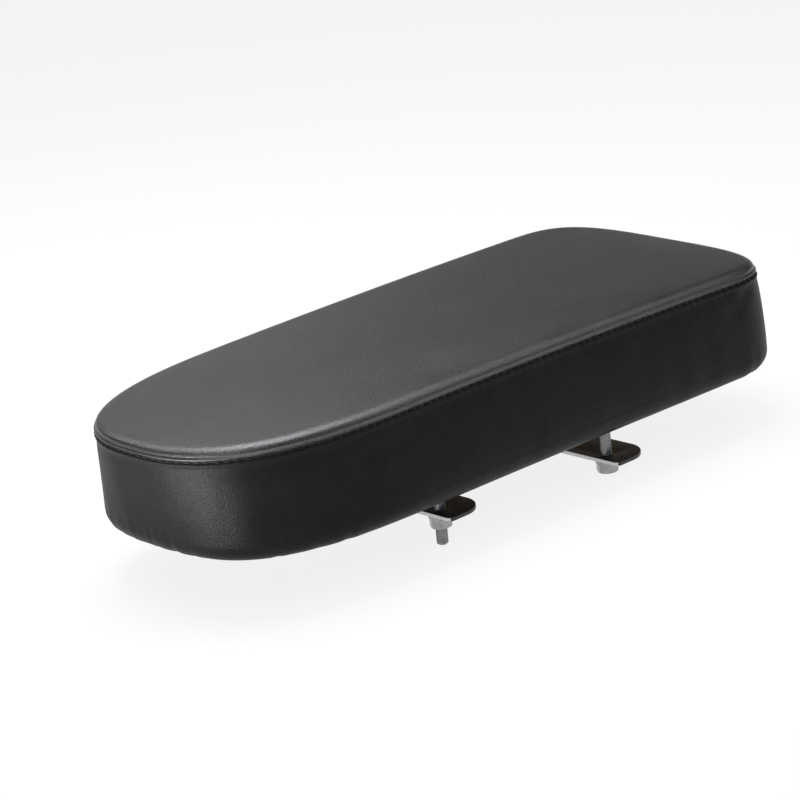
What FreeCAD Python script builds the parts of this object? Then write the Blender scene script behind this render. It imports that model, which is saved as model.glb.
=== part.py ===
import FreeCAD, Part
import math
import os
import Sketcher

# Rear rack cushion seat: a sewn leathercloth cover over a foam core on a plywood base board,
# held on a luggage rack by two crosswise clamp strips on M6 carriage bolts.
# The origin is the middle of the underside that lies on the rack rails.
# +X points to the rounded nose, +Y to the rider's left and +Z up. All sizes are in millimetres.

doc = FreeCAD.newDocument("rack_cushion_seat")

SIZES = {
    # plan outline at the seam between top panel and side band
    "cushion_length": 380,
    "nose_radius": 68,
    "nose_sweep_angle": 133,
    "flank_radius": 142,
    "side_taper_angle": 1,
    "corner_radius": 34,
    "rear_sweep_angle": 14,
    # how far the foot of the side band stands out from the seam, or back from it at the nose
    "side_flare": 4.5,
    "rear_flare": 4,
    "nose_tuck": 6,
    # heights above the rack face and the soft edges
    "seam_height": 56,
    "top_rise": 3,
    "shoulder_width": 11,
    "shoulder_radius": 30,
    "base_edge_radius": 10,
    # cover, its sewn lines, board and staples
    "cover_thickness": 1.3,
    "stitch_drop": 4,
    "stitch_groove_width": 1.4,
    "stitch_groove_depth": 0.5,
    "hem_width": 20,
    "board_thickness": 9,
    "staple_setback": 3.5,
    "staple_pitch": 31,
    "staple_crown": 10,
    "staple_leg": 6,
    "staple_wire_width": 1.2,
    "staple_wire_height": 0.6,
    # carriage bolts
    "front_bolt_place": 51,
    "rear_bolt_place": -69,
    "bolt_spacing": 114,
    "bolt_diameter": 6,
    "bolt_length": 35,
    "bolt_tip_chamfer": 0.7,
    "head_diameter": 14,
    "head_height": 3.3,
    "head_edge_height": 1.1,
    "neck_width": 6,
    "neck_length": 3.4,
    "head_clearance": 0.25,
    # clamp strips
    "strip_length": 142,
    "strip_width": 26,
    "strip_thickness": 2,
    "strip_hole_edge": 6.5,
    "strip_nose_corner": 3,
    "strip_rear_corner": 14,
    "hole_clearance": 0.3,
    "front_rail_gap": 10,
    "rear_rail_gap": 19,
    # washers and nuts
    "washer_diameter": 12,
    "washer_thickness": 1.6,
    "nut_width": 10,
    "nut_height": 5.2,
    "nut_chamfer_width": 1.2,
    "nut_chamfer_rise": 0.7,
    "thread_clearance": 0.1,
}

sheet = doc.addObject("Spreadsheet::Sheet", "sizes")
for row, (alias, value) in enumerate(SIZES.items(), start=1):
    sheet.set(f"A{row}", alias)
    sheet.set(f"B{row}", str(value))
    sheet.setAlias(f"B{row}", alias)
doc.recompute()

ORIGIN = FreeCAD.Vector(0, 0, 0)
UP = FreeCAD.Vector(0, 0, 1)
# ends of a sketch line or arc, and its centre
START, END, CENTRE = range(1, 4)
AXIS_X, AXIS_Y = -1, -2
# how near an edge lies to a height or place that it is looked up by
TOUCH = 0.01


def size(expression):
    return float(sheet.evalExpression(expression))


def bind(thing, prop, expression):
    words = expression.replace("(", " ( ").replace(")", " ) ").split()
    thing.setExpression(prop, " ".join(f"sizes.{w}" if w in SIZES else w for w in words))


def origin_plane(body, role):
    return next(plane for plane in body.Origin.OriginFeatures if plane.Role == role)


def new_body(name):
    body = doc.addObject("PartDesign::Body", name)
    body.Label = name
    return body


def new_sketch(body, name, plane="XY_Plane", height=None):
    sketch = body.newObject("Sketcher::SketchObject", name)
    sketch.AttachmentSupport = [(origin_plane(body, plane), "")]
    sketch.MapMode = "FlatFace"
    if height:
        bind(sketch, "AttachmentOffset.Base.z", height)
    return sketch


def dimension(sketch, name, expression, kind, *where):
    index = sketch.addConstraint(Sketcher.Constraint(kind, *where, size(expression)))
    sketch.renameConstraint(index, name)
    bind(sketch, f"Constraints.{name}", expression)


def turn(sketch, name, expression, piece):
    index = sketch.addConstraint(Sketcher.Constraint("Angle", piece, math.radians(size(expression))))
    sketch.renameConstraint(index, name)
    bind(sketch, f"Constraints.{name}", f"( {expression} ) * 1 deg")


def arc(x, y, radius, first, last):
    circle = Part.Circle(FreeCAD.Vector(x, y, 0), UP, radius)
    return Part.ArcOfCircle(circle, math.radians(first), math.radians(last))


def line(x1, y1, x2, y2):
    return Part.LineSegment(FreeCAD.Vector(x1, y1, 0), FreeCAD.Vector(x2, y2, 0))


def edges_at(shape, height):
    flat = []
    for number, edge in enumerate(shape.Edges, start=1):
        box = edge.BoundBox
        if abs(box.ZMin - height) < TOUCH and abs(box.ZMax - height) < TOUCH:
            flat.append(f"Edge{number}")
    return flat


def upright_edges_at(shape, x):
    upright = []
    for number, edge in enumerate(shape.Edges, start=1):
        box = edge.BoundBox
        if box.ZLength > TOUCH and abs(box.XMin - x) < TOUCH and abs(box.XMax - x) < TOUCH:
            upright.append(f"Edge{number}")
    return upright


# plan outline: nose arc, flank arcs, straight sides that widen to the rear, corner arcs and a rear arc
def outline_sketch(body, name, height, inset, foot=False):
    nose = f"nose_radius - ( {inset} )"
    flank = f"flank_radius - ( {inset} )"
    corner = f"corner_radius - ( {inset} )"
    tip = f"cushion_length / 2 - ( {inset} )"
    tail = f"cushion_length / 2 - ( {inset} )"
    if foot:
        nose += " + side_flare"
        flank += " + side_flare"
        corner += " + side_flare"
        tip += " - nose_tuck"
        tail += " + rear_flare"
    nose_r, flank_r, corner_r = size(nose), size(flank), size(corner)
    tip_x, tail_x = size(tip), size(tail)
    taper = size("side_taper_angle")
    half_sweep = size("rear_sweep_angle") / 2
    half_nose = size("nose_sweep_angle") / 2

    # where the arcs and sides touch, for the first drawing
    lean, swing, bend = (math.radians(angle) for angle in (taper, half_sweep, half_nose))
    out_x, out_y = math.sin(lean), math.cos(lean)
    nose_x = tip_x - nose_r
    flank_x = nose_x + (nose_r - flank_r) * math.cos(bend)
    flank_y = (nose_r - flank_r) * math.sin(bend)
    side_x, side_y = flank_x + flank_r * out_x, flank_y + flank_r * out_y
    slope = math.tan(swing / 2)
    reach = side_x + tail_x - corner_r * (1 + out_x) - slope * (side_y - corner_r * out_y)
    side_run = reach / (out_y + slope * out_x)
    side_end = (side_x - side_run * out_y, side_y + side_run * out_x)
    corner_x, corner_y = side_end[0] - corner_r * out_x, side_end[1] - corner_r * out_y
    rear_r = corner_r + corner_y / math.sin(swing)

    sketch = new_sketch(body, name, height=height)
    sketch.addGeometry(arc(nose_x, 0, nose_r, -half_nose, half_nose))
    sketch.addGeometry(arc(flank_x, flank_y, flank_r, half_nose, 90 - taper))
    sketch.addGeometry(line(side_x, side_y, *side_end))
    sketch.addGeometry(arc(corner_x, corner_y, corner_r, 90 - taper, 180 - half_sweep))
    sketch.addGeometry(arc(rear_r - tail_x, 0, rear_r, 180 - half_sweep, 180 + half_sweep))
    sketch.addGeometry(arc(corner_x, -corner_y, corner_r, 180 + half_sweep, 270 + taper))
    sketch.addGeometry(line(side_end[0], -side_end[1], side_x, -side_y))
    sketch.addGeometry(arc(flank_x, -flank_y, flank_r, 270 + taper, 360 - half_nose))
    pieces = sketch.GeometryCount
    for piece in range(pieces):
        joint = Sketcher.Constraint("Tangent", piece, END, (piece + 1) % pieces, START)
        sketch.addConstraint(joint)
    for middle_arc in (0, 4):
        sketch.addConstraint(Sketcher.Constraint("PointOnObject", middle_arc, CENTRE, AXIS_X))
    for left, right in ((1, 7), (2, 6), (3, 5)):
        sketch.addConstraint(Sketcher.Constraint("Equal", left, right))
    dimension(sketch, "nose", nose, "Radius", 0)
    dimension(sketch, "flank", flank, "Radius", 1)
    dimension(sketch, "corner", corner, "Radius", 3)
    dimension(sketch, "nose_centre", f"{tip} - ( {nose} )", "DistanceX", AXIS_X, START, 0, CENTRE)
    turn(sketch, "nose_turn", "nose_sweep_angle", 0)
    turn(sketch, "rear_turn", "rear_sweep_angle", 4)
    turn(sketch, "left_lean", "180 - side_taper_angle", 2)
    turn(sketch, "right_lean", "side_taper_angle", 6)
    middle = sketch.addGeometry(Part.Point(FreeCAD.Vector(-tail_x, 0, 0)), True)
    sketch.addConstraint(Sketcher.Constraint("PointOnObject", middle, START, AXIS_X))
    sketch.addConstraint(Sketcher.Constraint("PointOnObject", middle, START, 4))
    dimension(sketch, "tail", tail, "DistanceX", middle, START, AXIS_X, START)
    return sketch


# the stuffed form at a given depth under the leathercloth's outer face
def cushion_form(name, depth):
    body = new_body(name)
    foot_height = depth
    seam_height = f"seam_height - {depth}"
    top_height = f"seam_height + top_rise - {depth}"
    foot = outline_sketch(body, f"{name}_foot", foot_height, depth, foot=True)
    seam = outline_sketch(body, f"{name}_seam", seam_height, depth)
    top = outline_sketch(body, f"{name}_top", top_height, f"shoulder_width + {depth}")
    loft = body.newObject("PartDesign::AdditiveLoft", f"{name}_loft")
    loft.Profile = top
    loft.Sections = [seam, foot]
    loft.Ruled = True
    doc.recompute()
    shoulder = body.newObject("PartDesign::Fillet", f"{name}_shoulder")
    shoulder.Base = (loft, edges_at(loft.Shape, size(top_height)))
    bind(shoulder, "Radius", f"shoulder_radius - {depth}")
    doc.recompute()
    rounded = body.newObject("PartDesign::Fillet", f"{name}_base_edge")
    rounded.Base = (shoulder, edges_at(shoulder.Shape, size(foot_height)))
    bind(rounded, "Radius", f"base_edge_radius - {depth}")
    doc.recompute()
    return body


# a block far wider than the cushion, from one height to another, for cutting it into layers
def layer(name, low, high):
    block = doc.addObject("Part::Box", name)
    bind(block, "Length", "cushion_length * 2")
    bind(block, "Width", "cushion_length * 2")
    bind(block, "Height", f"{high} - ( {low} )")
    bind(block, "Placement.Base.x", "- cushion_length")
    bind(block, "Placement.Base.y", "- cushion_length")
    bind(block, "Placement.Base.z", low)
    return block


def boolean(kind, name, base, tool):
    result = doc.addObject(f"Part::{kind}", name)
    result.Base = base
    result.Tool = tool
    result.Label = name
    return result


outer_form = cushion_form("outer_form", "0")
inner_form = cushion_form("inner_form", "cover_thickness")
cover = boolean("Cut", "cover", outer_form, inner_form)
above_seam = layer("above_seam", "seam_height", "seam_height * 2")
below_seam = layer("below_seam", "- seam_height", "seam_height")
board_layer = layer("board_layer", "- seam_height", "cover_thickness + board_thickness")
foam_layer = layer("foam_layer", "cover_thickness + board_thickness", "seam_height * 2")

top_panel = boolean("Common", "top_panel", cover, above_seam)
foam_core = boolean("Common", "foam_core", inner_form, foam_layer)
board_blank = boolean("Common", "board_blank", inner_form, board_layer)

# the hem leaves the middle of the board's underside open
hem_inset = "base_edge_radius + hem_width"
hem_opening = new_body("hem_opening")
hem_edge = outline_sketch(hem_opening, "hem_edge", "- cover_thickness", hem_inset, foot=True)
hem_pad = hem_opening.newObject("PartDesign::Pad", "hem_pad")
hem_pad.Profile = hem_edge
bind(hem_pad, "Length", "cover_thickness * 2")
band_blank = boolean("Common", "band_blank", cover, below_seam)
hemmed_band = boolean("Cut", "hemmed_band", band_blank, hem_opening)

# the thread draws the band in along the top-stitch row and where its two ends are joined at the tail
drawn_form = cushion_form("drawn_form", "stitch_groove_depth")
drawn_skin = boolean("Cut", "drawn_skin", outer_form, drawn_form)
stitch_foot = "seam_height - stitch_drop - stitch_groove_width / 2"
stitch_layer = layer("stitch_layer", stitch_foot, f"{stitch_foot} + stitch_groove_width")
stitch_groove = boolean("Common", "stitch_groove", drawn_skin, stitch_layer)
join_slab = doc.addObject("Part::Box", "join_slab")
bind(join_slab, "Length", "cushion_length")
bind(join_slab, "Width", "stitch_groove_width")
bind(join_slab, "Height", "seam_height - base_edge_radius")
bind(join_slab, "Placement.Base.x", "- cushion_length")
bind(join_slab, "Placement.Base.y", "- stitch_groove_width / 2")
bind(join_slab, "Placement.Base.z", "base_edge_radius")
join_groove = boolean("Common", "join_groove", drawn_skin, join_slab)
sewn_lines = boolean("Fuse", "sewn_lines", stitch_groove, join_groove)
sewn_band = boolean("Cut", "sewn_band", hemmed_band, sewn_lines)

# staples run round the hem outside the bolts, their crowns pressed flush into it
staple_path_body = new_body("staple_path")
staple_inset = "base_edge_radius + staple_setback"
staple_line = outline_sketch(staple_path_body, "staple_line", "0", staple_inset, foot=True)
doc.recompute()


def staple(place, along):
    crown = size("staple_crown") / 2
    leg = size("staple_leg")
    wire = size("staple_wire_height")
    width = size("staple_wire_width")
    corners = [
        (-crown, 0),
        (crown, 0),
        (crown, leg),
        (crown - wire, leg),
        (crown - wire, wire),
        (wire - crown, wire),
        (wire - crown, leg),
        (-crown, leg),
        (-crown, 0),
    ]
    across = FreeCAD.Vector(-along.y, along.x, 0)
    side = place - across * (width / 2)
    profile = Part.makePolygon([side + along * u + UP * z for u, z in corners])
    return Part.Face(profile).extrude(across * width)


staple_wire = staple_line.Shape.Wires[0]
staple_count = round(staple_wire.Length / size("staple_pitch"))
staple_points = staple_wire.discretize(Number=staple_count + 1)[:-1]
staples = []
for index, point in enumerate(staple_points):
    behind = staple_points[index - 1]
    ahead = staple_points[(index + 1) % staple_count]
    staples.append(staple(point, (ahead - behind).normalize()))
hem_staples = doc.addObject("Part::Feature", "hem_staples")
hem_staples.Label = "hem_staples"
hem_staples.Shape = Part.makeCompound(staples)

stapled_band = boolean("Cut", "stapled_band", sewn_band, hem_staples)
stapled_board = boolean("Cut", "stapled_board", board_blank, hem_staples)


# M6 carriage bolt, head up, with its square neck in the board
def carriage_bolt(name, place_x, side):
    body = new_body(name)
    profile = new_sketch(body, f"{name}_profile", "XZ_Plane")
    shank_r = size("bolt_diameter / 2")
    head_r = size("head_diameter / 2")
    edge_z = size("head_edge_height")
    dome = size("head_height - head_edge_height")
    dome_r = (head_r**2 + dome**2) / (2 * dome)
    length = size("bolt_length")
    tip = size("bolt_tip_chamfer")
    swing = math.degrees(math.asin(head_r / dome_r))
    profile.addGeometry(line(0, -length, shank_r - tip, -length))
    profile.addGeometry(line(shank_r - tip, -length, shank_r, tip - length))
    profile.addGeometry(line(shank_r, tip - length, shank_r, 0))
    profile.addGeometry(line(shank_r, 0, head_r, 0))
    profile.addGeometry(line(head_r, 0, head_r, edge_z))
    profile.addGeometry(arc(0, edge_z + dome - dome_r, dome_r, 90 - swing, 90))
    profile.addGeometry(line(0, edge_z + dome, 0, -length))
    for piece in range(7):
        joint = Sketcher.Constraint("Coincident", piece, END, (piece + 1) % 7, START)
        profile.addConstraint(joint)
    for piece in (0, 3):
        profile.addConstraint(Sketcher.Constraint("Horizontal", piece))
    for piece in (2, 4):
        profile.addConstraint(Sketcher.Constraint("Vertical", piece))
    profile.addConstraint(Sketcher.Constraint("PointOnObject", 0, START, AXIS_Y))
    profile.addConstraint(Sketcher.Constraint("PointOnObject", 5, CENTRE, AXIS_Y))
    profile.addConstraint(Sketcher.Constraint("PointOnObject", 6, START, AXIS_Y))
    profile.addConstraint(Sketcher.Constraint("PointOnObject", 3, START, AXIS_X))
    dimension(profile, "shank", "bolt_diameter / 2", "DistanceX", AXIS_X, START, 2, START)
    dimension(profile, "head", "head_diameter / 2", "DistanceX", AXIS_X, START, 3, END)
    dimension(profile, "rim", "head_edge_height", "DistanceY", AXIS_X, START, 4, END)
    dimension(profile, "dome", "head_height", "DistanceY", AXIS_X, START, 6, START)
    dimension(profile, "reach", "bolt_length", "DistanceY", 0, START, AXIS_X, START)
    dimension(profile, "chamfer_run", "bolt_tip_chamfer", "DistanceX", 1, START, 1, END)
    dimension(profile, "chamfer_rise", "bolt_tip_chamfer", "DistanceY", 1, START, 1, END)
    turned = body.newObject("PartDesign::Revolution", f"{name}_turned")
    turned.Profile = profile
    turned.ReferenceAxis = (profile, ["V_Axis"])
    turned.Angle = 360
    neck_sketch = new_sketch(body, f"{name}_neck_square")
    square(neck_sketch, "neck_width")
    neck = body.newObject("PartDesign::Pad", f"{name}_neck")
    neck.Profile = neck_sketch
    neck.Reversed = True
    bind(neck, "Length", "neck_length")
    place(body, place_x, side, "cover_thickness + board_thickness - head_height")
    return body


def square(sketch, width):
    half = size(f"{width} / 2")
    corners = [(-half, -half), (half, -half), (half, half), (-half, half)]
    for index, corner in enumerate(corners):
        sketch.addGeometry(line(*corner, *corners[(index + 1) % 4]))
    for index in range(4):
        joint = Sketcher.Constraint("Coincident", index, END, (index + 1) % 4, START)
        sketch.addConstraint(joint)
        way = "Horizontal" if index % 2 == 0 else "Vertical"
        sketch.addConstraint(Sketcher.Constraint(way, index))
    dimension(sketch, "low_x", f"{width} / 2", "DistanceX", 0, START, AXIS_X, START)
    dimension(sketch, "low_y", f"{width} / 2", "DistanceY", 0, START, AXIS_X, START)
    dimension(sketch, "high_x", f"{width} / 2", "DistanceX", AXIS_X, START, 2, START)
    dimension(sketch, "high_y", f"{width} / 2", "DistanceY", AXIS_X, START, 2, START)


def place(thing, place_x, side, height):
    bind(thing, "Placement.Base.x", place_x)
    bind(thing, "Placement.Base.y", f"{side} bolt_spacing / 2".strip())
    bind(thing, "Placement.Base.z", height)


def group(name, pieces):
    compound = doc.addObject("Part::Compound", name)
    compound.Links = pieces
    compound.Label = name
    return compound


def circle_sketch(body, name, *diameters):
    sketch = new_sketch(body, name)
    for index, diameter in enumerate(diameters):
        sketch.addGeometry(Part.Circle(ORIGIN, UP, size(f"( {diameter} ) / 2")))
        sketch.addConstraint(Sketcher.Constraint("Coincident", index, CENTRE, AXIS_X, START))
        dimension(sketch, f"circle_{index}", f"( {diameter} ) / 2", "Radius", index)
    return sketch


# plain washer under the strip
def washer(name, place_x, side, top_height):
    body = new_body(name)
    bore = "bolt_diameter + hole_clearance * 2"
    pad = body.newObject("PartDesign::Pad", f"{name}_pad")
    pad.Profile = circle_sketch(body, f"{name}_ring", "washer_diameter", bore)
    bind(pad, "Length", "washer_thickness")
    place(body, place_x, side, f"{top_height} - washer_thickness")
    return body


# hex nut under the washer, its corners chamfered on both faces
def hex_nut(name, place_x, side, top_height):
    body = new_body(name)
    across = size("nut_width")
    corner_r = across / math.sqrt(3)
    hexagon = circle_sketch(body, f"{name}_hexagon", "bolt_diameter + thread_clearance * 2")
    corners = []
    for turn in range(6):
        angle = math.radians(60 * turn)
        corners.append((corner_r * math.cos(angle), corner_r * math.sin(angle)))
    for index, corner in enumerate(corners):
        hexagon.addGeometry(line(*corner, *corners[(index + 1) % 6]))
    hexagon.addGeometry(Part.Circle(ORIGIN, UP, corner_r), True)
    for index in range(6):
        side_line, next_line = index + 1, (index + 1) % 6 + 1
        hexagon.addConstraint(Sketcher.Constraint("Coincident", side_line, END, next_line, START))
        hexagon.addConstraint(Sketcher.Constraint("PointOnObject", side_line, START, 7))
        if index:
            hexagon.addConstraint(Sketcher.Constraint("Equal", 1, side_line))
    hexagon.addConstraint(Sketcher.Constraint("Coincident", 7, CENTRE, AXIS_X, START))
    hexagon.addConstraint(Sketcher.Constraint("PointOnObject", 1, START, AXIS_X))
    dimension(hexagon, "corners", "nut_width / 3 ^ 0.5", "Radius", 7)
    pad = body.newObject("PartDesign::Pad", f"{name}_pad")
    pad.Profile = hexagon
    bind(pad, "Length", "nut_height")
    doc.recompute()

    inner, outer = across / 2, across / 2 + size("nut_chamfer_width")
    rise, top = size("nut_chamfer_rise"), size("nut_height")
    chamfer = new_sketch(body, f"{name}_chamfer_profile", "XZ_Plane")
    for word, flat, slant in (("low", 0, rise), ("high", top, top - rise)):
        first = chamfer.GeometryCount
        chamfer.addGeometry(line(inner, flat, outer, flat))
        chamfer.addGeometry(line(outer, flat, outer, slant))
        chamfer.addGeometry(line(outer, slant, inner, flat))
        for index in range(3):
            joint = (first + index, END, first + (index + 1) % 3, START)
            chamfer.addConstraint(Sketcher.Constraint("Coincident", *joint))
        chamfer.addConstraint(Sketcher.Constraint("Horizontal", first))
        chamfer.addConstraint(Sketcher.Constraint("Vertical", first + 1))
        dimension(chamfer, f"{word}_flat", "nut_width / 2", "DistanceX", AXIS_X, START, first, START)
        dimension(chamfer, f"{word}_width", "nut_chamfer_width", "DistanceX", first, START, first, END)
        ends = (first + 1, START, first + 1, END) if slant > flat else (first + 1, END, first + 1, START)
        dimension(chamfer, f"{word}_rise", "nut_chamfer_rise", "DistanceY", *ends)
        if flat:
            dimension(chamfer, f"{word}_face", "nut_height", "DistanceY", AXIS_X, START, first, START)
        else:
            chamfer.addConstraint(Sketcher.Constraint("PointOnObject", first, START, AXIS_X))
    groove = body.newObject("PartDesign::Groove", f"{name}_chamfer")
    groove.Profile = chamfer
    groove.ReferenceAxis = (chamfer, ["V_Axis"])
    groove.Angle = 360
    place(body, place_x, side, f"{top_height} - nut_height")
    return body


# crosswise clamp strip, square at the nose side and rounded at the rear, holes near its nose edge
def clamp_strip(name, place_x, top_height):
    body = new_body(name)
    nose_edge = size("strip_hole_edge")
    rear_edge = nose_edge - size("strip_width")
    half = size("strip_length") / 2
    blank = new_sketch(body, f"{name}_blank")
    corners = [(rear_edge, -half), (nose_edge, -half), (nose_edge, half), (rear_edge, half)]
    for index, corner in enumerate(corners):
        blank.addGeometry(line(*corner, *corners[(index + 1) % 4]))
    for index in range(4):
        joint = Sketcher.Constraint("Coincident", index, END, (index + 1) % 4, START)
        blank.addConstraint(joint)
        way = "Horizontal" if index % 2 == 0 else "Vertical"
        blank.addConstraint(Sketcher.Constraint(way, index))
    dimension(blank, "nose_edge", "strip_hole_edge", "DistanceX", AXIS_X, START, 1, START)
    dimension(blank, "width", "strip_width", "DistanceX", 0, START, 0, END)
    dimension(blank, "left_half", "strip_length / 2", "DistanceY", AXIS_X, START, 2, START)
    dimension(blank, "right_half", "strip_length / 2", "DistanceY", 0, START, AXIS_X, START)
    pad = body.newObject("PartDesign::Pad", f"{name}_pad")
    pad.Profile = blank
    pad.Reversed = True
    bind(pad, "Length", "strip_thickness")
    doc.recompute()
    last = pad
    for word, edge_x in (("nose", nose_edge), ("rear", rear_edge)):
        fillet = body.newObject("PartDesign::Fillet", f"{name}_{word}_corners")
        fillet.Base = (last, upright_edges_at(last.Shape, edge_x))
        bind(fillet, "Radius", f"strip_{word}_corner")
        doc.recompute()
        last = fillet
    holes = new_sketch(body, f"{name}_hole_places")
    bore = "bolt_diameter / 2 + hole_clearance"
    for index, (way, name_of) in enumerate(((1, "left"), (-1, "right"))):
        middle = FreeCAD.Vector(0, way * size("bolt_spacing") / 2, 0)
        holes.addGeometry(Part.Circle(middle, UP, size(bore)))
        holes.addConstraint(Sketcher.Constraint("PointOnObject", index, CENTRE, AXIS_Y))
        ends = (AXIS_X, START, index, CENTRE) if way > 0 else (index, CENTRE, AXIS_X, START)
        dimension(holes, f"{name_of}_place", "bolt_spacing / 2", "DistanceY", *ends)
        dimension(holes, f"{name_of}_bore", bore, "Radius", index)
    solid_volume = last.Shape.Volume
    pocket = body.newObject("PartDesign::Pocket", f"{name}_holes")
    pocket.Profile = holes
    pocket.Type = "ThroughAll"
    doc.recompute()
    if pocket.Shape.Volume >= solid_volume:
        raise RuntimeError(f"{name}: the bolt holes cut nothing")
    bind(body, "Placement.Base.x", place_x)
    bind(body, "Placement.Base.z", top_height)
    return body


sub_parts = [top_panel, foam_core, hem_staples]
bolt_seats = []
for end in ("front", "rear"):
    where = f"{end}_bolt_place"
    strip_top = f"- {end}_rail_gap"
    washer_top = f"{strip_top} - strip_thickness"
    nut_top = f"{washer_top} - washer_thickness"
    sub_parts.append(clamp_strip(f"{end}_clamp_strip", where, strip_top))
    bolts, washers, nuts = [], [], []
    for way, sign in (("left", ""), ("right", "-")):
        bolts.append(carriage_bolt(f"{end}_{way}_bolt", where, sign))
        washers.append(washer(f"{end}_{way}_washer", where, sign, washer_top))
        nuts.append(hex_nut(f"{end}_{way}_nut", where, sign, nut_top))

        # square hole for the neck, counterbore for the head, and a clear hole for the shank
        # through the board and the hem
        neck_hole = doc.addObject("Part::Box", f"{end}_{way}_neck_hole")
        bind(neck_hole, "Length", "neck_width")
        bind(neck_hole, "Width", "neck_width")
        bind(neck_hole, "Height", "neck_length")
        bind(neck_hole, "Placement.Base.x", f"{where} - neck_width / 2")
        bind(neck_hole, "Placement.Base.y", f"{sign} bolt_spacing / 2 - neck_width / 2".strip())
        under_head = "cover_thickness + board_thickness - head_height"
        bind(neck_hole, "Placement.Base.z", f"{under_head} - neck_length")
        counterbore = doc.addObject("Part::Cylinder", f"{end}_{way}_counterbore")
        bind(counterbore, "Radius", "head_diameter / 2 + head_clearance")
        bind(counterbore, "Height", "head_height * 2")
        place(counterbore, where, sign, under_head)
        shank_hole = doc.addObject("Part::Cylinder", f"{end}_{way}_shank_hole")
        bind(shank_hole, "Radius", "bolt_diameter / 2 + hole_clearance")
        bind(shank_hole, "Height", "board_thickness * 2")
        place(shank_hole, where, sign, f"{under_head} - neck_length - board_thickness * 2")
        bolt_seats += [neck_hole, counterbore, shank_hole]
    sub_parts.append(group(f"{end}_clamp_bolts", bolts))
    sub_parts.append(group(f"{end}_clamp_washers", washers))
    sub_parts.append(group(f"{end}_clamp_nuts", nuts))

seat_tools = doc.addObject("Part::MultiFuse", "bolt_seats")
seat_tools.Shapes = bolt_seats
base_board = boolean("Cut", "base_board", stapled_board, seat_tools)
side_band = boolean("Cut", "side_band", stapled_band, seat_tools)
sub_parts += [base_board, side_band]
doc.recompute()

for thing in doc.Objects:
    if "Invalid" in thing.State or "Error" in thing.State:
        raise RuntimeError(f"{thing.Name}: {thing.State}")
for part in sub_parts:
    if part.Shape.isNull() or not part.Shape.isValid():
        raise RuntimeError(f"{part.Label}: the shape is not valid")

os.makedirs("parts", exist_ok=True)
for part in sub_parts:
    solids = len(part.Shape.Solids)
    print(f"{part.Label}: {solids} solid(s), {part.Shape.Volume / 1000:.2f} cm3")
    part.Shape.exportStep(f"parts/{part.Label}.step")
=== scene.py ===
import math
import bmesh
import bpy
import numpy as np
from mathutils import Matrix, Vector
from mathutils.bvhtree import BVHTree


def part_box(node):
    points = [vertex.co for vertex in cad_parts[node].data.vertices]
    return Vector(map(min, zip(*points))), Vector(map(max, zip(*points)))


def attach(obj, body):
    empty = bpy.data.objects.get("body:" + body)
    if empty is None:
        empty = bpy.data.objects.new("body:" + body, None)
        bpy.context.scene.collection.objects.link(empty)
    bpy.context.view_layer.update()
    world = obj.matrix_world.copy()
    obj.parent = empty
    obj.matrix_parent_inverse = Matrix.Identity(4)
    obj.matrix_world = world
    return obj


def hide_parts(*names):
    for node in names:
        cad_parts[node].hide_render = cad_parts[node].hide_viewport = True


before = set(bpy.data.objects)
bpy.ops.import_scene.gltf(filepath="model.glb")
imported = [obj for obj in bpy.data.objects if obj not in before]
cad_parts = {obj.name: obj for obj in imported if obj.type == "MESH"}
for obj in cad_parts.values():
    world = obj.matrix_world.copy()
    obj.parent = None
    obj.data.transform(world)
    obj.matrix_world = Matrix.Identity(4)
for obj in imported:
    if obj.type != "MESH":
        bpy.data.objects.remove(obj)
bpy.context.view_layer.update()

# cushion seat: nose along +X, the hem lies on z = 0, everything in metres
mm = 0.001
rng = np.random.default_rng(11)
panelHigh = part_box("top_panel")[1]
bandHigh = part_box("side_band")[1]
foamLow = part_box("foam_core")[0]
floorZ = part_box("front_clamp_bolts")[0].z       # the seat stands on its stud ends
print("frame loaded:", len(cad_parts), "nodes")


# node helpers

noiseLow, noiseHigh = 0.3, 0.7      # nearly all of a noise lies between these


def newMaterial(name, **sockets):
    mat = bpy.data.materials.new(name)
    mat.use_nodes = True
    shader = mat.node_tree.nodes["Principled BSDF"]
    for socket, value in sockets.items():
        shader.inputs[socket.replace("_", " ")].default_value = value
    return mat


def addNode(tree, kind, inputs=None, **settings):
    node = tree.nodes.new(kind)
    for name, value in settings.items():
        setattr(node, name, value)
    for name, value in (inputs or {}).items():
        if isinstance(value, bpy.types.NodeSocket):
            tree.links.new(value, node.inputs[name])
        else:
            node.inputs[name].default_value = value
    return node


def feed(mat, socket, output):
    mat.node_tree.links.new(output, mat.node_tree.nodes["Principled BSDF"].inputs[socket])


def objectPlace(mat, stretch=(1, 1, 1)):
    place = addNode(mat.node_tree, "ShaderNodeTexCoord").outputs["Object"]
    return addNode(mat.node_tree, "ShaderNodeMapping", {"Vector": place, "Scale": stretch}).outputs[0]


def noise(mat, place, size, detail, rough):
    # size is the patch width in metres
    inputs = {"Vector": place, "Scale": 1 / size, "Detail": detail, "Roughness": rough}
    return addNode(mat.node_tree, "ShaderNodeTexNoise", inputs).outputs["Fac"]


def spread(mat, value, low, high, fromLow=noiseLow, fromHigh=noiseHigh):
    inputs = {"Value": value, "From Min": fromLow, "From Max": fromHigh, "To Min": low, "To Max": high}
    return addNode(mat.node_tree, "ShaderNodeMapRange", inputs).outputs["Result"]


def ramp(mat, value, *stops):
    node = addNode(mat.node_tree, "ShaderNodeValToRGB", {"Fac": value})
    for extra in range(len(stops) - 2):
        node.color_ramp.elements.new(0.5)
    for element, (place, colour) in zip(node.color_ramp.elements, stops):
        element.position = place
        element.color = (*colour, 1)
    return node.outputs["Color"]


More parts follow.
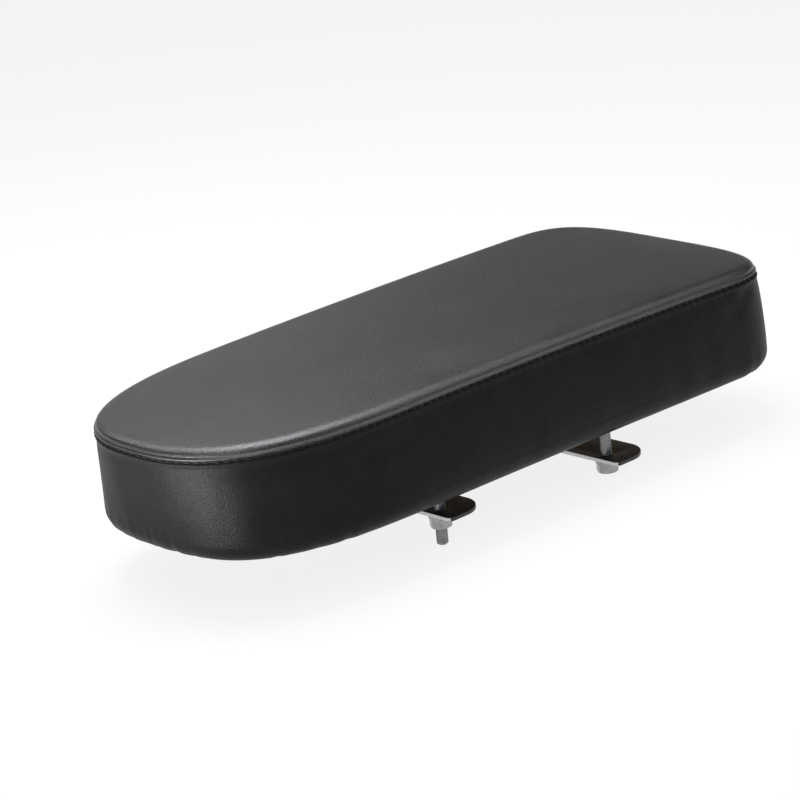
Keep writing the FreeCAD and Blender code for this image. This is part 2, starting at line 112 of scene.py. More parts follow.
def addUp(mat, first, second, share):
    # first + second * share
    inputs = {0: second, 1: share, 2: first}
    return addNode(mat.node_tree, "ShaderNodeMath", inputs, operation="MULTIPLY_ADD").outputs[0]


def bump(mat, height, depth, strength):
    inputs = {"Height": height, "Distance": depth, "Strength": strength}
    feed(mat, "Normal", addNode(mat.node_tree, "ShaderNodeBump", inputs).outputs["Normal"])


def twoTone(mat, patches, finish):
    feed(mat, "Base Color", ramp(mat, patches, (noiseLow, finish["dark"]), (noiseHigh, finish["light"])))


# finishes: a noise is given by its patch width, detail and unevenness, a bump by its depth and strength

leather = {
    "topFinish": {
        "dark": (0.0085, 0.0085, 0.009),
        "light": (0.0135, 0.0135, 0.014),
        "gloss": 0.65,
        "roughness": (0.32, 0.39),
        "grainStrength": 0.6,
    },
    "shadedSideFinish": {             # smoother and duller: a darker copy of the top's cloth, painted shade that keeps the walls dark
        "dark": (0.006, 0.006, 0.0063),
        "light": (0.0095, 0.0095, 0.0098),
        "gloss": 0.08,
        "roughness": (0.4, 0.48),
        "grainStrength": 0.4,
    },
    "blotch": (38 * mm, 4, 0.6),
    "grain": 0.9 * mm,
    "grainRounding": 0.6,
    "grainDepth": 0.25 * mm,
    "grainShine": 0.35,         # how much the gloss differs within the grain
    "grainRange": (0.5, 1.0),   # from its hollows to its crests
    "pores": (0.54 * mm, 4, 0.65),
    "poreShare": 0.8,
}


def leatherclothMaterial(name, finish):
    mat = newMaterial(name)
    place = objectPlace(mat)
    blotch = noise(mat, place, *leather["blotch"])
    twoTone(mat, blotch, finish)
    feed(mat, "Roughness", spread(mat, blotch, *finish["roughness"]))
    inputs = {"Vector": place, "Scale": 1 / leather["grain"], "Smoothness": leather["grainRounding"]}
    cells = addNode(mat.node_tree, "ShaderNodeTexVoronoi", inputs, feature="SMOOTH_F1").outputs["Distance"]
    pores = noise(mat, place, *leather["pores"])
    grain = addUp(mat, cells, pores, leather["poreShare"])
    bump(mat, grain, leather["grainDepth"], finish["grainStrength"])
    dull = finish["gloss"] * (1 - leather["grainShine"])
    bright = finish["gloss"] * (1 + leather["grainShine"])
    feed(mat, "Specular IOR Level", spread(mat, grain, dull, bright, *leather["grainRange"]))
    return mat


threadFinish = {
    "dark": (0.006, 0.006, 0.006),
    "light": (0.014, 0.014, 0.015),
    "gloss": 0.4,
    "roughness": (0.5, 0.7),
    "lint": (0.5 * mm, 3, 0.6),
    "bump": (0.1 * mm, 0.5),
}


def threadMaterial():
    mat = newMaterial("black_thread", Specular_IOR_Level=threadFinish["gloss"])
    lint = noise(mat, objectPlace(mat), *threadFinish["lint"])
    twoTone(mat, lint, threadFinish)
    feed(mat, "Roughness", spread(mat, lint, *threadFinish["roughness"]))
    bump(mat, lint, *threadFinish["bump"])
    return mat


coatFinish = {
    "dark": (0.008, 0.008, 0.008),
    "light": (0.014, 0.0135, 0.013),
    "gloss": 0.5,
    "roughness": (0.34, 0.5),
    "cloud": (9 * mm, 3, 0.5),
    "pimples": (0.7 * mm, 2, 0.5),
    "bump": (0.05 * mm, 0.4),
}


def blackCoatMaterial():
    mat = newMaterial("black_coat", Specular_IOR_Level=coatFinish["gloss"])
    place = objectPlace(mat)
    cloud = noise(mat, place, *coatFinish["cloud"])
    twoTone(mat, cloud, coatFinish)
    feed(mat, "Roughness", spread(mat, cloud, *coatFinish["roughness"]))
    bump(mat, noise(mat, place, *coatFinish["pimples"]), *coatFinish["bump"])
    return mat


# bare cut steel, put only on the strips' edges that face the nose and the light: partly a painted highlight
cutFinish = {
    "dark": (0.42, 0.42, 0.43),
    "light": (0.62, 0.62, 0.63),
    "roughness": (0.28, 0.5),
    "stretch": (1, 1, 4),       # shear marks run across the cut
    "marks": (1.6 * mm, 4, 0.7),
    "bump": (0.08 * mm, 0.5),
}


def bareSteelMaterial():
    mat = newMaterial("bare_cut_steel_highlight", Metallic=1.0)
    marks = noise(mat, objectPlace(mat, cutFinish["stretch"]), *cutFinish["marks"])
    twoTone(mat, marks, cutFinish)
    feed(mat, "Roughness", spread(mat, marks, *cutFinish["roughness"]))
    bump(mat, marks, *cutFinish["bump"])
    return mat


zincFinish = {
    "dark": (0.22, 0.225, 0.235),
    "light": (0.38, 0.385, 0.395),
    "roughness": (0.22, 0.38),
    "cloud": (3 * mm, 4, 0.6),
    "crystals": (0.5 * mm, 3, 0.5),
    "bump": (0.03 * mm, 0.4),
}


def zincMaterial():
    mat = newMaterial("bright_zinc", Metallic=1.0)
    place = objectPlace(mat)
    cloud = noise(mat, place, *zincFinish["cloud"])
    twoTone(mat, cloud, zincFinish)
    feed(mat, "Roughness", spread(mat, cloud, *zincFinish["roughness"]))
    bump(mat, noise(mat, place, *zincFinish["crystals"]), *zincFinish["bump"])
    return mat


boardFinish = {
    "stops": ((0.55, (0.30, 0.19, 0.095)), (0.8, (0.48, 0.34, 0.19)), (1.0, (0.60, 0.46, 0.29))),
    "gloss": 0.3,
    "roughness": (0.55, 0.75),
    "stretch": (0.06, 1, 1),    # grain runs along the seat
    "streak": (2.2 * mm, 5, 0.65),
    "broad": (14 * mm, 3, 0.5),
    "streakShare": 0.6,
    "bump": (0.12 * mm, 0.5),
}


def plywoodMaterial():
    mat = newMaterial("birch_plywood", Specular_IOR_Level=boardFinish["gloss"])
    place = objectPlace(mat, boardFinish["stretch"])
    streak = noise(mat, place, *boardFinish["streak"])
    broad = noise(mat, place, *boardFinish["broad"])
    tone = addUp(mat, broad, streak, boardFinish["streakShare"])
    feed(mat, "Base Color", ramp(mat, tone, *boardFinish["stops"]))
    feed(mat, "Roughness", spread(mat, streak, *boardFinish["roughness"]))
    bump(mat, streak, *boardFinish["bump"])
    return mat


foamFinish = {
    "dark": (0.58, 0.51, 0.36),
    "light": (0.78, 0.73, 0.58),
    "roughness": 0.9,
    "cells": (1.1 * mm, 3, 0.7),
    "bump": (0.5 * mm, 0.8),
}


def foamMaterial():
    mat = newMaterial("upholstery_foam", Roughness=foamFinish["roughness"])
    cells = noise(mat, objectPlace(mat), *foamFinish["cells"])
    twoTone(mat, cells, foamFinish)
    bump(mat, cells, *foamFinish["bump"])
    return mat


topCloth = leatherclothMaterial("leathercloth_top", leather["topFinish"])
# the side band's cloth is the top's made darker and duller: painted shade on the walls
shadedSideCloth = leatherclothMaterial("leathercloth_side_shaded", leather["shadedSideFinish"])
blackThread = threadMaterial()
blackCoat = blackCoatMaterial()
bareSteelHighlight = bareSteelMaterial()
brightZinc = zincMaterial()
plywood = plywoodMaterial()
paleFoam = foamMaterial()
print("materials made:", len(bpy.data.materials))


# mesh helpers

def addPiece(name, mesh, mats):
    for mat in mats:
        mesh.materials.append(mat)
    piece = bpy.data.objects.new(name, mesh)
    bpy.context.scene.collection.objects.link(piece)
    return piece


def pieceFromPoints(name, verts, faces, mats):
    mesh = bpy.data.meshes.new(name)
    mesh.from_pydata([tuple(v) for v in verts], [], faces)
    mesh.shade_smooth()
    mesh.update()
    return addPiece(name, mesh, mats)


def pieceFromBmesh(name, bm, mats, smoothAngle):
    for face in bm.faces:
        face.smooth = True
    mesh = bpy.data.meshes.new(name)
    bm.to_mesh(mesh)
    bm.free()
    mesh.set_sharp_from_angle(angle=math.radians(smoothAngle))
    return addPiece(name, mesh, mats)


def joinRings(faces, a, aCount, b, bCount, flip=False):
    # faces from ring a to ring b, which has as many points as a or half as many
    for k in range(bCount):
        n = (k + 1) % bCount
        if aCount == bCount:
            new = [(a + k, b + k, b + n, a + n)]
        else:
            first, middle, last = a + 2 * k, a + 2 * k + 1, a + (2 * k + 2) % aCount
            new = [(first, b + k, middle), (middle, b + k, b + n, last)]
        faces += [f[::-1] for f in new] if flip else new


# cushion form: the seam line in plan, and one section that runs round it

cushion = {
    "fullness": 0.6 * mm,       # stuffed, the seat is this much wider on each side
    "endFullness": 1.4 * mm,    # and longer at each end
    "noseLength": 116 * mm,     # the nose curve starts this far back
    "nosePower": 2.61,          # 2 is an ellipse, more is blunter
    "tailLength": 54 * mm,
    "tailPower": 3.58,
    "sideSlope": 0.016,         # the seat narrows to the nose
    "waist": 0.35 * mm,         # the sides pull in between the ends
    "waistPlace": -30 * mm,
    "waistSpan": 90 * mm,
    "seamDrop": 1.4 * mm,       # seam at the ends, below the nominal height
    "seamBow": 2.7 * mm,        # and how much it rises to the middle
    "sideFoot": 3.8 * mm,       # the wall's foot stands out at the sides and tail, back at the nose
    "tailFoot": 3.4 * mm,
    "noseFoot": -5.4 * mm,
    "footBlend": 3,             # more keeps the ends' foot to the ends
    "curl": 10 * mm,            # radius where the band turns under
    "hem": 20 * mm,
    "shoulder": 7.2 * mm,
    "shoulderAngle": 60,        # degrees at the seam, easing to level
    "shoulderEase": 1.6,
    "inset": 20 * mm,           # where the flat of the top begins
    "thickness": 1.3 * mm,
}
halfLength = panelHigh.x + cushion["endFullness"]
wallHeight = bandHigh.z - cushion["curl"]
columnsPerStitch = 6
stitchCount = 192
columns = columnsPerStitch * stitchCount
coarseStep = 8                  # fine columns for each column of the simulated cover
coarseColumns = columns // coarseStep


def halfWidthAt(x):
    noseStart = halfLength - cushion["noseLength"]
    tailStart = cushion["tailLength"] - halfLength
    wide = panelHigh.y + cushion["fullness"] - cushion["sideSlope"] * (x - tailStart)
    wide = wide - cushion["waist"] * np.exp(-((x - cushion["waistPlace"]) / cushion["waistSpan"]) ** 2)
    nose = np.clip((x - noseStart) / cushion["noseLength"], 0, 1) ** cushion["nosePower"]
    tail = np.clip((tailStart - x) / cushion["tailLength"], 0, 1) ** cushion["tailPower"]
    return wide * (1 - nose) ** (1 / cushion["nosePower"]) * (1 - tail) ** (1 / cushion["tailPower"])


def seamRing(count, samples=20000):
    # evenly spaced points from the nose tip over the left side to the tail and back
    x = halfLength * np.cos(np.linspace(0, math.pi, samples))
    y = halfWidthAt(x)
    walked = np.concatenate([[0], np.cumsum(np.hypot(np.diff(x), np.diff(y)))])
    stops = np.linspace(0, walked[-1], count // 2 + 1)
    left = np.c_[np.interp(stops, walked, x), np.interp(stops, walked, y)]
    ring = np.vstack([left, left[-2:0:-1] * (1, -1)])
    tangent = np.roll(ring, -1, 0) - np.roll(ring, 1, 0)
    outward = np.c_[tangent[:, 1], -tangent[:, 0]]
    return ring, outward / np.linalg.norm(outward, axis=1)[:, None], 2 * walked[-1]


def seamHeight(x):
    return bandHigh.z - cushion["seamDrop"] + cushion["seamBow"] * (1 - (x / halfLength) ** 2)


def footOffset(outward):
    ends = np.where(outward[:, 0] > 0, cushion["noseFoot"], cushion["tailFoot"])
    share = np.abs(outward[:, 0]) ** cushion["footBlend"]
    return cushion["sideFoot"] * (1 - share) + ends * share


def shoulderProfile(samples=400):
    # how far in from the seam, and how high above it
    run = np.linspace(0, cushion["inset"], samples)
    turn = np.clip(1 - run / cushion["shoulder"], 0, 1) ** cushion["shoulderEase"]
    slope = np.tan(np.radians(cushion["shoulderAngle"]) * turn)
    return run, np.cumsum(slope) * (run[1] - run[0])


shoulderRun, shoulderRise = shoulderProfile()


def sectionRow(t, ring, outward):
    # one ring of the cover. t is 0 at the seam, -1 where the flat top begins,
    # 1 at the foot of the wall, 2 where it has curled under and 3 at the hem's edge
    seam = seamHeight(ring[:, 0])
    foot = footOffset(outward)
    curl = cushion["curl"]
    if t <= 0:
        run = -t * cushion["inset"]
        out = np.full(len(ring), -run)
        z = seamHeight(ring[:, 0] - outward[:, 0] * run) + np.interp(run, shoulderRun, shoulderRise)
    elif t <= 1:
        out = foot * np.where(foot > 0, math.sin(t * math.pi / 2), t)
        z = seam + (curl - seam) * t
    elif t <= 2:
        angle = (t - 1) * math.pi / 2
        out = foot - curl + curl * math.cos(angle)
        z = np.full(len(ring), curl - curl * math.sin(angle))
    else:
        out = foot - curl - cushion["hem"] * (t - 2)
        z = np.zeros(len(ring))
    return np.c_[ring + outward * out[:, None], z]


def section(ts, ring, outward):
    return np.array([sectionRow(t, ring, outward) for t in ts])


def gridNormals(grid):
    around = np.roll(grid, -1, 1) - np.roll(grid, 1, 1)
    normal = np.cross(np.gradient(grid, axis=0), around)
    return normal / np.linalg.norm(normal, axis=2)[:, :, None]


fineRing, fineOutward, perimeter = seamRing(columns)
coarseRing, coarseOutward = fineRing[::coarseStep], fineOutward[::coarseStep]
print("seam line: %.0f mm round" % (perimeter / mm))

# flat areas are filled with rings that shrink to a line along the middle of the seat
fillCount = 10
halfCount = coarseColumns // 2
flatEdge = sectionRow(-1, coarseRing, coarseOutward)[:halfCount + 1]
flatReach = flatEdge[:, 1].max()
middleFirst = int(np.argmax(flatEdge[:, 0] < flatEdge[0, 0] - flatReach))
middleLast = int(np.argmax(flatEdge[:, 0] < flatEdge[-1, 0] + flatReach))
middleCount = middleLast - middleFirst + 1
middleSeat = np.clip(np.arange(halfCount + 1), middleFirst, middleLast) - middleFirst
middleSeat = np.concatenate([middleSeat, middleSeat[-2:0:-1]])     # each column's point on that line


def fillPoints(edge, bowed=False):
    middle = edge[middleFirst:middleLast + 1] * (1, 0, 1)
    share = np.arange(1, fillCount)[:, None, None] / fillCount
    rings = edge * (1 - share) + middle[middleSeat] * share
    points = np.vstack([rings.reshape(-1, 3), middle])
    if bowed:       # the top follows the seam's bow all over
        straight = fillPoints(np.c_[edge[:, :2], seamHeight(edge[:, 0])])
        points[:, 2] += seamHeight(points[:, 0]) - straight[:, 2]
    return points


def fillFaces(faces, edge, first, up):
    # edge is the first point of the edge, first the first point inside it
    for number in range(fillCount - 1):
        joinRings(faces, edge, coarseColumns, first, coarseColumns, up)
        edge, first = first, first + coarseColumns
    for k in range(coarseColumns):
        n = (k + 1) % coarseColumns
        corners = [edge + k, first + middleSeat[k], first + middleSeat[n], edge + n]
        if middleSeat[k] == middleSeat[n]:
            corners.pop(1)
        faces.append(tuple(corners[::-1] if up else corners))


# stuffing: the cover is blown up as cloth, held at the seam, near the stitch row and at the hem

stuffing = {
    "pressure": 4.0,
    "frames": 20,
    "quality": 6,
    "mass": 0.2,
    "stiffness": 18,
    "bending": 0.6,
    "damping": 4,
    "wallCap": 2.2 * mm,        # the wall stops swelling here
    "topCrown": 0.9 * mm,       # the foam keeps the top nearly flat
    "topRipples": 10,           # from this many waves round the top on, they are left out
    "quickSwell": 1.2 * mm,
    "levels": (-1, -0.7, -0.45, -0.25, -0.1, 0, 0.087, 0.2, 0.33, 0.47, 0.6, 0.73, 0.86, 1,
               1.33, 1.67, 2, 2.5, 3),
    "held": (0, 0.087, 2, 2.5, 3),
}


def slowPart(rings):
    # leaves out small ripples round the seat, which a foam top doesn't show
    parts = np.fft.rfft(rings, axis=1)
    parts[:, stuffing["topRipples"]:] = 0
    return np.fft.irfft(parts, n=coarseColumns, axis=1)


def sewBlank(grid, top, under):
    # one closed cover: the rings of the section, then the fillings of the top and the underside
    ringPoints = grid.reshape(-1, 3)
    topStart = len(ringPoints)
    underStart = topStart + len(top)
    verts = np.vstack([ringPoints, top, under])
    faces = []
    for level in range(len(grid) - 1):
        joinRings(faces, level * coarseColumns, coarseColumns, (level + 1) * coarseColumns, coarseColumns)
    fillFaces(faces, 0, topStart, up=True)
    fillFaces(faces, topStart - coarseColumns, underStart, up=False)
    blank = pieceFromPoints("cover_blank", verts, faces, [])
    pins = blank.vertex_groups.new(name="sewn")
    for number, level in enumerate(stuffing["levels"]):
        if level in stuffing["held"]:
            pins.add(list(range(number * coarseColumns, (number + 1) * coarseColumns)), 1.0, "REPLACE")
    pins.add(list(range(underStart, len(verts))), 1.0, "REPLACE")
    return blank


def blowUp(blank):
    # runs the cloth, gives its points and takes the blank away
    cloth = blank.modifiers.new("stuffing", "CLOTH")
    settings = cloth.settings
    settings.quality = stuffing["quality"]
    settings.mass = stuffing["mass"]
    settings.tension_stiffness = stuffing["stiffness"]
    settings.compression_stiffness = stuffing["stiffness"]
    settings.shear_stiffness = stuffing["stiffness"] / 2
    settings.bending_stiffness = stuffing["bending"]
    settings.air_damping = stuffing["damping"]
    settings.use_pressure = True
    settings.uniform_pressure_force = stuffing["pressure"]
    settings.effector_weights.gravity = 0
    settings.vertex_group_mass = "sewn"
    cloth.collision_settings.use_collision = False
    cloth.point_cache.frame_start = 1
    cloth.point_cache.frame_end = stuffing["frames"]
    for step in range(1, stuffing["frames"] + 1):
        bpy.context.scene.frame_set(step)
    bpy.context.view_layer.objects.active = blank
    bpy.ops.object.modifier_apply(modifier=cloth.name)
    blown = np.zeros(len(blank.data.vertices) * 3)
    blank.data.vertices.foreach_get("co", blown)
    bpy.data.objects.remove(blank)
    bpy.context.scene.frame_set(1)
    return blown.reshape(-1, 3)


def stuffCover():
    # moves of the section's rings along their normals, and of the flat top upwards
    levels = np.array(stuffing["levels"])
    grid = section(levels, coarseRing, coarseOutward)
    top = fillPoints(grid[0], bowed=True)

    blown = blowUp(sewBlank(grid, top, fillPoints(grid[-1])))
    topStart = len(levels) * coarseColumns
    moved = blown[:topStart].reshape(grid.shape) - grid
    swell = np.einsum("lcx,lcx->lc", moved, gridNormals(grid))
    lift = blown[topStart:topStart + len(top), 2] - top[:, 2]
    halfWay = int(np.argmin(np.abs(levels - 0.5)))      # down the wall
    for name, column in (("nose", 0), ("side", coarseColumns // 4), ("tail", coarseColumns // 2)):
        print("cover stuffed, %s: %.2f mm" % (name, swell[halfWay, column] / mm))
    print("cover stuffed, top: %.2f mm before it is flattened" % (lift.max() / mm))

    topShare = stuffing["topCrown"] / lift.max()
    cap = stuffing["wallCap"]
    onTop = levels[:, None] <= 0
    swell = np.where(onTop, slowPart(swell) * topShare, cap * np.tanh(swell / cap))
    rings = slowPart(lift[:-middleCount].reshape(-1, coarseColumns)).ravel()
    lift = np.concatenate([rings, lift[-middleCount:]])
    return swell, lift * topShare


def curveThrough(known, values, wanted):
    # smooth curve through rows of values
    known = np.array(known)
    slopes = np.gradient(values, known, axis=0)
    left = np.clip(np.searchsorted(known, wanted) - 1, 0, len(known) - 2)
    gap = known[left + 1] - known[left]
    t = (wanted - known[left]) / gap
    t, gap = t[:, None], gap[:, None]
    return ((2 * t**3 - 3 * t**2 + 1) * values[left] + (t**3 - 2 * t**2 + t) * gap * slopes[left]
            + (3 * t**2 - 2 * t**3) * values[left + 1] + (t**3 - t**2) * gap * slopes[left + 1])


def finer(values):
    # the same rings with more columns
    parts = np.fft.rfft(values, axis=1)
    return np.fft.irfft(parts, n=columns, axis=1) * coarseStep


swell, topLift = stuffCover()


def swellAt(ts):
    return finer(curveThrough(stuffing["levels"], swell, np.array(ts)))


# sewn details: everything is a small move along the cover's own normal

sewing = {
    "seamDepth": 0.6 * mm,
    "seamWidth": 0.6 * mm,
    "welt": 0.4 * mm,           # roll between the seam and the stitch row
    "weltDip": 0.2,             # the needle holes pull this much of it in
    "rowDrop": 2.6 * mm,        # stitch row below the seam
    "rowDepth": 0.5 * mm,
    "rowWidth": 0.65 * mm,
    "holeDepth": 0.45 * mm,     # needle holes go deeper
    "ridge": 0.6 * mm,          # fullness under the stitch row
    "ridgeDrop": 1.6,           # in row drops
    "ridgeWidth": 0.4,
    "ridgeDip": 0.35,
    "hollow": 0.2 * mm,
    "hollowDrop": 3.2,
    "wallEase": 7 * mm,         # the stuffing shows fully this far from the seam
    "topEase": 5 * mm,
    "easeLeast": 0.3,
    "stapleDepth": 0.5 * mm,    # each staple pulls the hem up round it
    "stapleSpan": 3.5 * mm,
}
tailJoin = {                    # the band's two ends meet here, the left one lapped over
    "lapHeight": 0.9 * mm,
    "lapLength": 9 * mm,
    "grooveDepth": 0.7 * mm,
    "grooveWidth": 0.9 * mm,
    "ease": 2 * mm,             # it fades in below the seam
    "lastLevel": 1.8,           # and ends before the hem
}
drapes = {
    "waves": 14,
    "waveHeight": 0.025 * mm,
    "waveTurns": (10, 46),      # waves round the seat
    "waveLean": 90,             # radians in each metre of depth
    "waveFade": 0.6,            # levels below the foot
    "puckers": 26,
    "puckerDepth": (0.15 * mm, 0.45 * mm),
    "puckerWidth": (2.0 * mm, 4.0 * mm),
    "puckerReach": (2 * mm, 7 * mm),
    "puckerEdge": 0.5,          # cloth pushed up beside a pucker
    "edgeWidth": 2.2,
    "noseSpan": 118 * mm,       # puckers gather within this walk of the nose tip
    "cornerWalk": 62 * mm,      # rear corners from the middle of the tail
    "cornerSpan": 45 * mm,
}
walk = np.arange(columns) * perimeter / columns         # along the seam from the nose tip
hole = 0.5 + 0.5 * np.cos(2 * math.pi * np.arange(columns) / columnsPerStitch)      # 1 at a needle hole


def bell(x, width):
    return np.exp(-(x / width) ** 2)


def wallWaves(depth):
    # slow unevenness of the foam under the cover, depth is metres below the seam
    total = np.zeros((len(depth), columns))
    for wave in range(drapes["waves"]):
        turns = rng.integers(*drapes["waveTurns"])
        phase = rng.uniform(0, 2 * math.pi)
        lean = rng.uniform(-drapes["waveLean"], drapes["waveLean"])
        total += np.sin(turns * 2 * math.pi * walk / perimeter + phase + lean * depth[:, None])
    return total * drapes["waveHeight"]


def puckers(ts):
    # gathers at the foot of the nose and the rear corners, which run on as pleats in the hem
    height = wallHeight * (1 - np.clip(ts, 0, 1))
    total = np.zeros((len(ts), columns))
    corner = perimeter / 2 - drapes["cornerWalk"]
    for number in range(drapes["puckers"]):
        if number % 4 < 3:      # three of four at the nose
            centre = rng.uniform(-1, 1) * drapes["noseSpan"]
        else:
            centre = rng.choice([-1, 1]) * (corner + rng.uniform(-1, 1) * drapes["cornerSpan"])
        depth = rng.uniform(*drapes["puckerDepth"])
        width = rng.uniform(*drapes["puckerWidth"])
        reach = rng.uniform(*drapes["puckerReach"])
        away = (walk - centre + perimeter / 2) % perimeter - perimeter / 2
        fade = bell(height, reach) * np.where(ts > 0, 1, 0)
        shape = bell(away, width) - drapes["puckerEdge"] * bell(away, width * drapes["edgeWidth"])
        total -= depth * fade[:, None] * shape
    return total


def lappedEnds(ts, depth):
    away = np.abs(walk - perimeter / 2)
    lap = np.where(walk < perimeter / 2, bell(away, tailJoin["lapLength"]), 0) * tailJoin["lapHeight"]
    joined = lap - tailJoin["grooveDepth"] * bell(away, tailJoin["grooveWidth"])
    onBand = np.where(ts < tailJoin["lastLevel"], 1, 0) * np.clip(depth / tailJoin["ease"], 0, 1)
    return onBand[:, None] * joined


def bandDetail(ts, plain=False):
    # moves of the side band, for levels from the seam down
    depth = np.clip(ts, 0, 1) * wallHeight
    total = swellAt(ts) + wallWaves(depth) * bell(np.clip(ts - 1, 0, 2), drapes["waveFade"])[:, None]
    total *= np.clip(depth / sewing["wallEase"], sewing["easeLeast"], 1)[:, None]
    if plain:
        return total
    row = sewing["rowDrop"]
    s = depth[:, None]
    welt = bell(s - row / 2, row / 4) * (1 - sewing["weltDip"] * hole)
    ridge = bell(s - row * sewing["ridgeDrop"], row * sewing["ridgeWidth"])
    ridge = ridge * (1 - sewing["ridgeDip"] * hole)
    onWall = np.where(ts <= 1, 1, 0)[:, None]
    total -= onWall * sewing["seamDepth"] * bell(s, sewing["seamWidth"])
    total += onWall * sewing["welt"] * welt
    total -= onWall * (sewing["rowDepth"] + sewing["holeDepth"] * hole) * bell(s - row, sewing["rowWidth"])
    total += onWall * sewing["ridge"] * ridge
    total -= onWall * sewing["hollow"] * bell(s - row * sewing["hollowDrop"], row)
    return total + puckers(ts) + lappedEnds(ts, depth)


def nearStaple(points):
    # 1 at a staple, falling to 0 away from it
    staples = BVHTree.FromObject(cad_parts["hem_staples"], bpy.context.evaluated_depsgraph_get())
    away = np.array([staples.find_nearest(point)[3] for point in points.reshape(-1, 3)])
    return bell(away, sewing["stapleSpan"]).reshape(points.shape[:2])


def growing(first, last, step, growth, largest):
    # stops from first to last whose steps grow
    stops = [first]
    while stops[-1] + step < last:
        stops.append(stops[-1] + step)
        step = min(step * growth, largest)
    return stops + [last]


# side band

band = {
    "fineStep": 0.3 * mm,       # rows of the mesh, fine down to the ridge under the stitches
    "wallStep": 0.4 * mm,
    "stepGrowth": 1.14,
    "largestStep": 2.2 * mm,
    "curlRows": 10,
    "hemRows": 12,
    "stapledFrom": 1.5,         # level, half-way round the curl
    "lining": (3, 2.5, 2, 1.5, 1, 0.75, 0.5, 0.25, 0.02),
}


def bandLevels():
    fineZone = sewing["rowDrop"] * sewing["ridgeDrop"]
    wall = growing(0, fineZone, band["fineStep"], 1.0, band["fineStep"])[:-1]
    wall += growing(fineZone, wallHeight, band["wallStep"], band["stepGrowth"], band["largestStep"])
    curl = np.linspace(1, 2, band["curlRows"])[1:]
    hem = np.linspace(2, 3, band["hemRows"])[1:]
    return np.concatenate([np.array(wall) / wallHeight, curl, hem])


def makeSideBand():
    outer = bandLevels()
    base = section(outer, fineRing, fineOutward)
    normals = gridNormals(base)
    detail = bandDetail(outer)
    hem = outer > band["stapledFrom"]
    near = nearStaple(base[hem])
    detail[hem] = detail[hem] * (1 - near) - sewing["stapleDepth"] * near
    grid = base + normals * detail[:, :, None]

    inner = np.array(band["lining"])
    lining = section(inner, fineRing, fineOutward)
    liningDepth = cushion["thickness"] - bandDetail(inner, plain=True)
    lining -= gridNormals(lining[::-1])[::-1] * liningDepth[:, :, None]

    rows = np.vstack([grid, lining])
    faces = []
    for level in range(len(rows)):
        joinRings(faces, level * columns, columns, (level + 1) % len(rows) * columns, columns)
    piece = pieceFromPoints("sideBand", rows.reshape(-1, 3), faces, [shadedSideCloth, topCloth])
    rowLevel = int(np.argmin(np.abs(outer * wallHeight - sewing["rowDrop"])))
    finish = np.zeros(len(faces), dtype=int)
    finish[:rowLevel * columns] = 1         # the welt above the stitch row shines as the top does, without the walls' painted shade
    piece.data.polygons.foreach_set("material_index", finish)
    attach(piece, "root")
    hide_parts("side_band")
    print("side band:", len(faces), "faces")
    return grid[rowLevel], normals[rowLevel]


# top panel

panel = {
    "fineStep": 0.3 * mm,       # rows of the mesh, in from the seam
    "stepGrowth": 1.16,
    "largestStep": 1.4 * mm,
    "fullRun": 12 * mm,         # as far in as this every column goes on
    "halfRun": 14 * mm,
    "quarterRun": 16.5 * mm,
    "liningRuns": (1 * mm, 4 * mm, 10 * mm),    # full, half and quarter columns of the lining
}


def topRing(run, count, drop):
    # one ring of the panel, drop is 0 on its face and the thickness on its lining
    t = -run / cushion["inset"]
    beside = 0.01
    levels = (t - beside, t, t + beside) if run else (-2 * beside, -beside, 0)
    base = section(levels, fineRing, fineOutward)
    normal = gridNormals(base)[1 if run else 2]
    move = swellAt([t])[0] * min(1, run / sewing["topEase"]) - drop
    if not drop:
        move = move - sewing["seamDepth"] * bell(run, sewing["seamWidth"])
    points = sectionRow(t, fineRing, fineOutward) + normal * move[:, None]
    return points[::columns // count]


def addTopSkin(verts, faces, runs, drop, flip):
    starts = []
    for run, count in runs:
        starts.append((len(verts), count))
        verts += list(topRing(run, count, drop))
    for (a, aCount), (b, bCount) in zip(starts, starts[1:]):
        joinRings(faces, a, aCount, b, bCount, not flip)
    start = starts[-1][0]
    edge = np.array(verts[start:])
    inside = fillPoints(edge, bowed=True)
    inside[:, 2] += topLift - fillPoints(np.c_[edge[:, :2], swell[0]])[:, 2]
    fillFaces(faces, start, len(verts), up=not flip)
    verts += list(inside)
    return starts[0][0]


def makeTopPanel():
    verts, faces = [], []
    shoulder = growing(0, panel["fullRun"], panel["fineStep"], panel["stepGrowth"], panel["largestStep"])
    flat = (cushion["inset"], coarseColumns)
    outer = [(run, columns) for run in shoulder]
    outer += [(panel["halfRun"], columns // 2), (panel["quarterRun"], columns // 4), flat]
    inner = [(run, columns // 2**k) for k, run in enumerate(panel["liningRuns"])] + [flat]
    outerStart = addTopSkin(verts, faces, outer, 0, False)
    innerStart = addTopSkin(verts, faces, inner, cushion["thickness"], True)
    joinRings(faces, outerStart, columns, innerStart, columns)
    piece = pieceFromPoints("topPanel", verts, faces, [topCloth])
    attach(piece, "root")
    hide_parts("top_panel")
    print("top panel:", len(faces), "faces")


# stitches of the top-stitch row, each from one needle hole to the next

thread = {
    "radius": 0.29 * mm,
    "endShare": 0.45,       # of the radius, where a stitch goes into its holes
    "ends": (0.05, 0.95),   # of the way between the holes
    "lift": 0.3 * mm,       # how far a stitch rises between its holes
    "slant": 0.3 * mm,      # one end sits above the row and one below, this far apart
    "sides": 6,
    "rings": 7,
}


